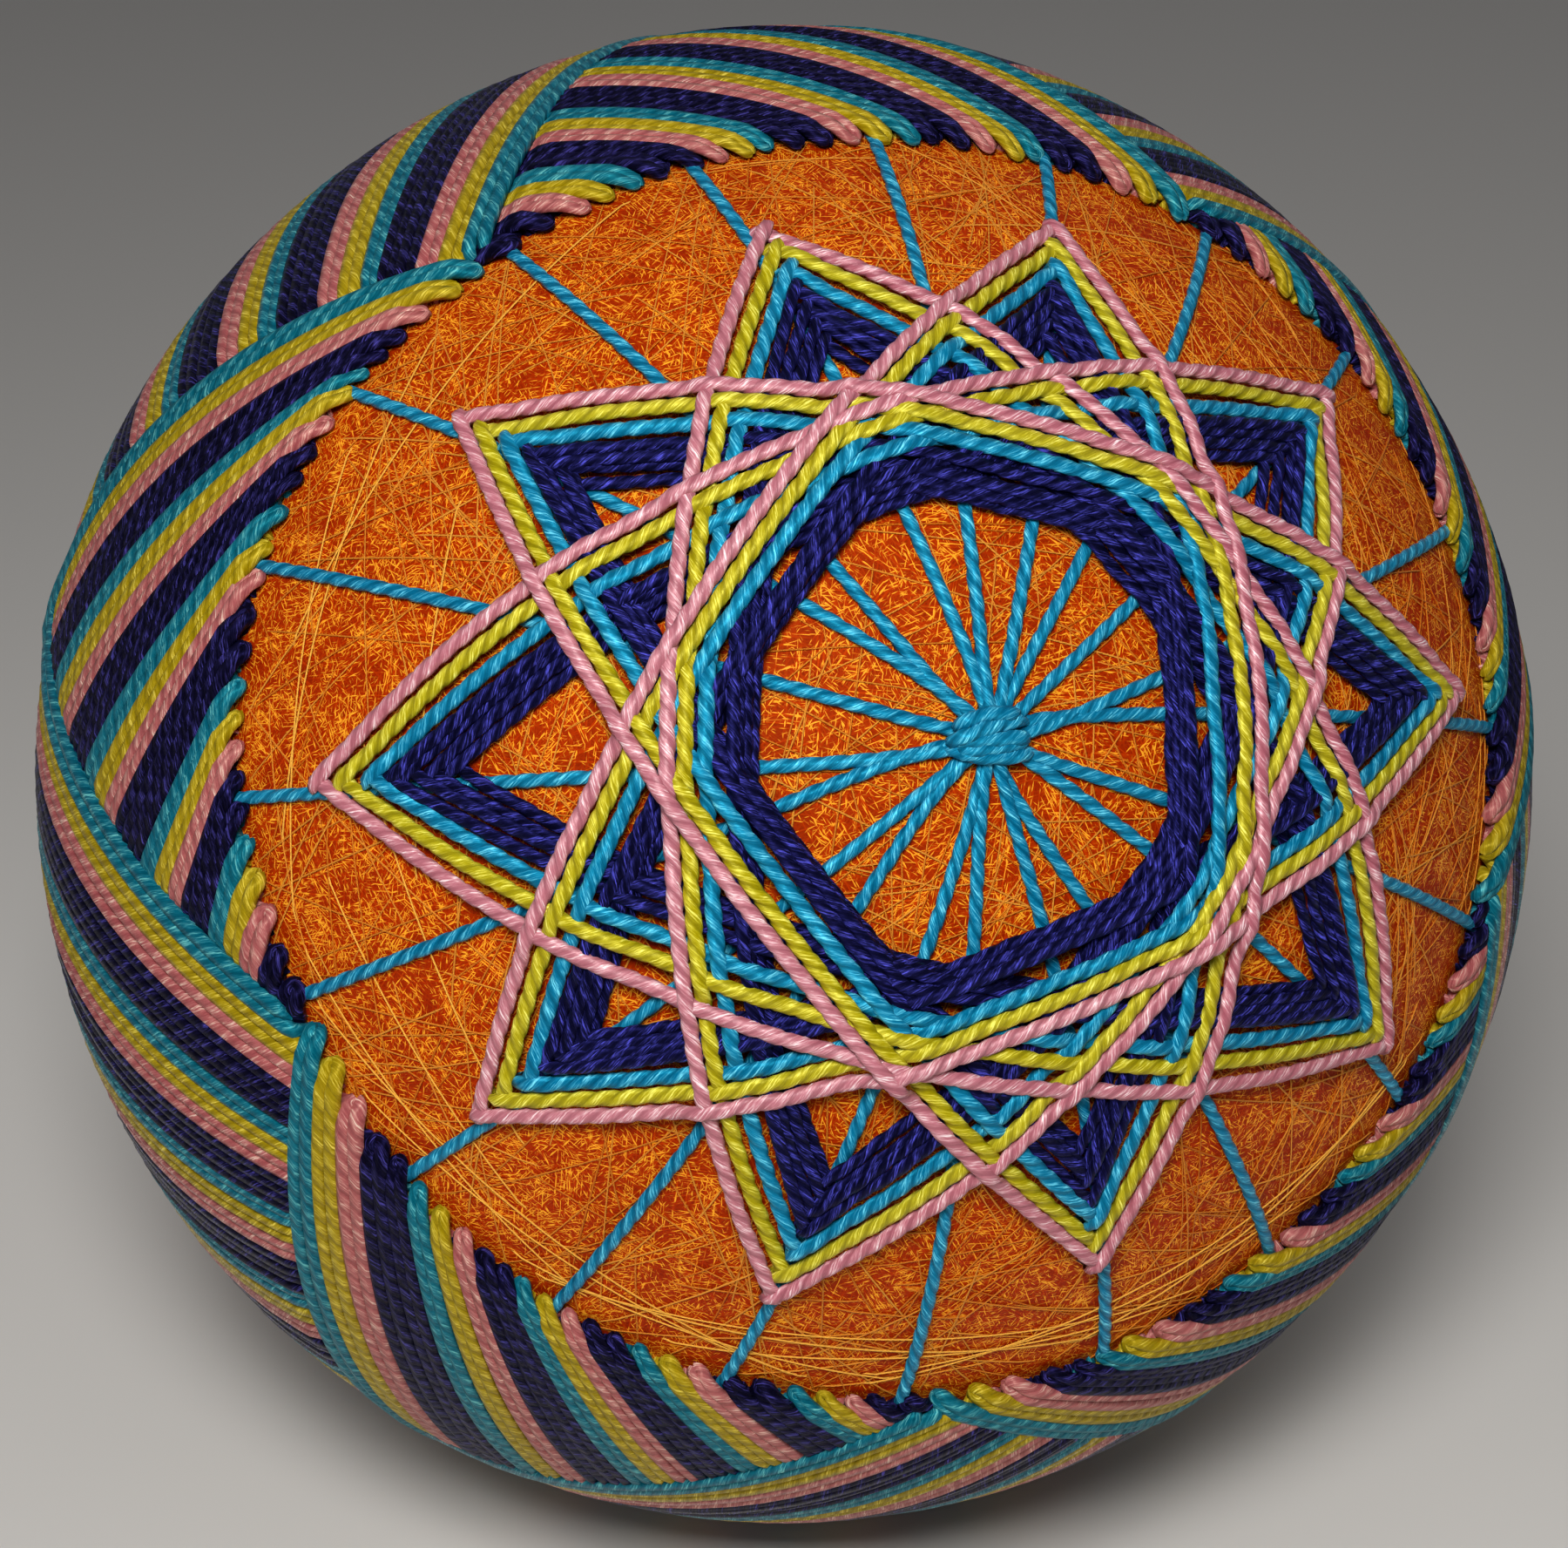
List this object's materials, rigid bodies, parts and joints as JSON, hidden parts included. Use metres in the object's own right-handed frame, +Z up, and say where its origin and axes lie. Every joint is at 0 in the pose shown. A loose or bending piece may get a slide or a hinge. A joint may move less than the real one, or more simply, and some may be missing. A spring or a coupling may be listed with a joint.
{
  "type": "temari ball",
  "caption": "Thread-wrapped ball with an embroidered star at each pole and a wide embroidered belt, lying on its side.",
  "frame": {"origin": "centre of the ball's footprint, on the surface that it rests on", "axes": "+Z up; the star axis lies in the YZ plane, points to the front (-Y) and is raised 25 degrees above the surface; +X to the right seen from the front"},
  "size_m": [0.0884, 0.0894, 0.0877],
  "materials": {
    "wound_thread": "shiny sewing thread wound at random",
    "division_thread": "silky twisted cotton",
    "star_thread": "silky twisted cotton in navy, turquoise, yellow and pink rows",
    "belt_thread": "silky twisted cotton in navy, turquoise, yellow and pink stripes"
  },
  "bodies": {
    "root": {"wound_core": "wound_thread", "division_threads_front": "division_thread", "division_threads_back": "division_thread", "star_front": "star_thread", "star_back": "star_thread", "belt": "belt_thread"}
  },
  "joints": []
}
